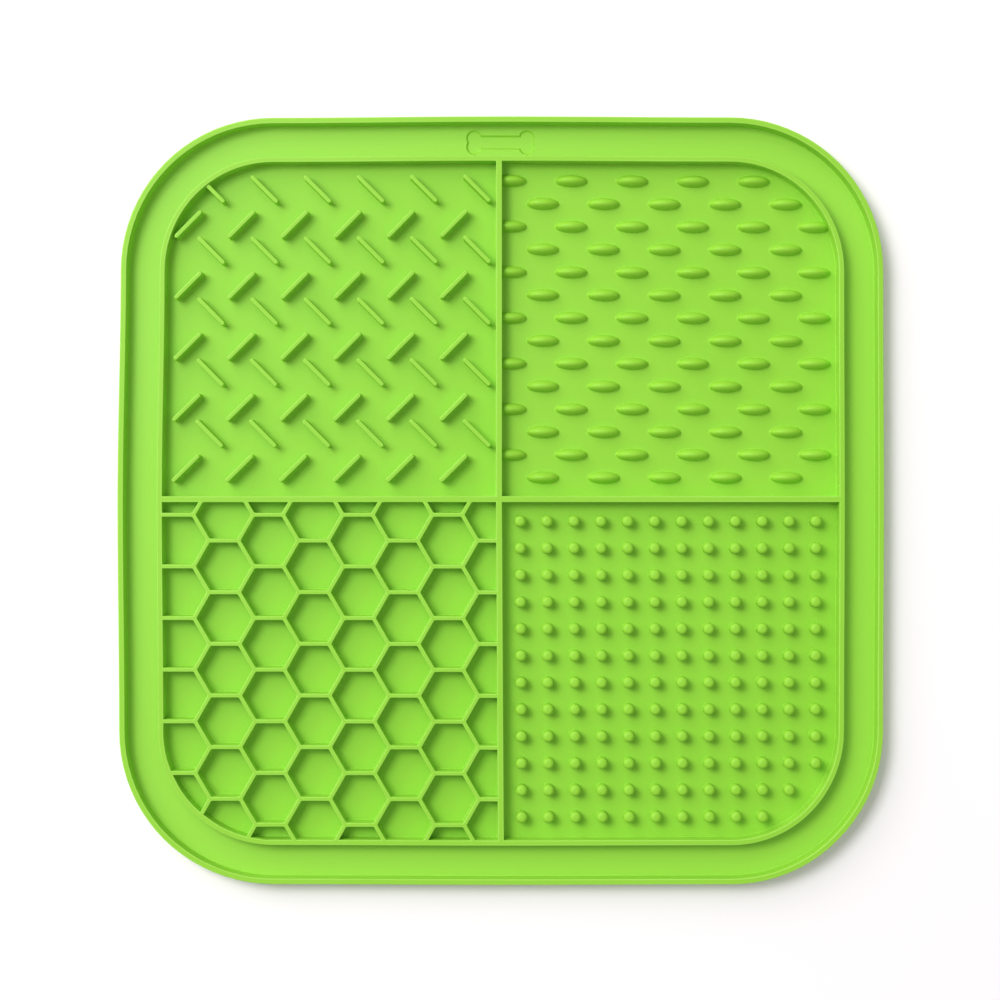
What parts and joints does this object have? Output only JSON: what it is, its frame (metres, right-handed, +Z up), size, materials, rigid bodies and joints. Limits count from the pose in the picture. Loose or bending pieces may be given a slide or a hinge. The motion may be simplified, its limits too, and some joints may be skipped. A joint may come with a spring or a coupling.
{
  "type": "silicone lick mat",
  "caption": "Square one-piece silicone lick mat with a rim, a channel round the edge and four textured fields: fins, long bumps, honeycomb and nubs.",
  "frame": {"origin": "on the flat underside, below the middle of the mat", "axes": "+Z up out of the textured side, +Y towards the edge with the bone recess, +X to the right seen from above"},
  "size_m": [0.2, 0.2004, 0.007],
  "materials": {
    "silicone": "matte lime green silicone"
  },
  "bodies": {
    "root": {"mat": "silicone"}
  },
  "joints": []
}
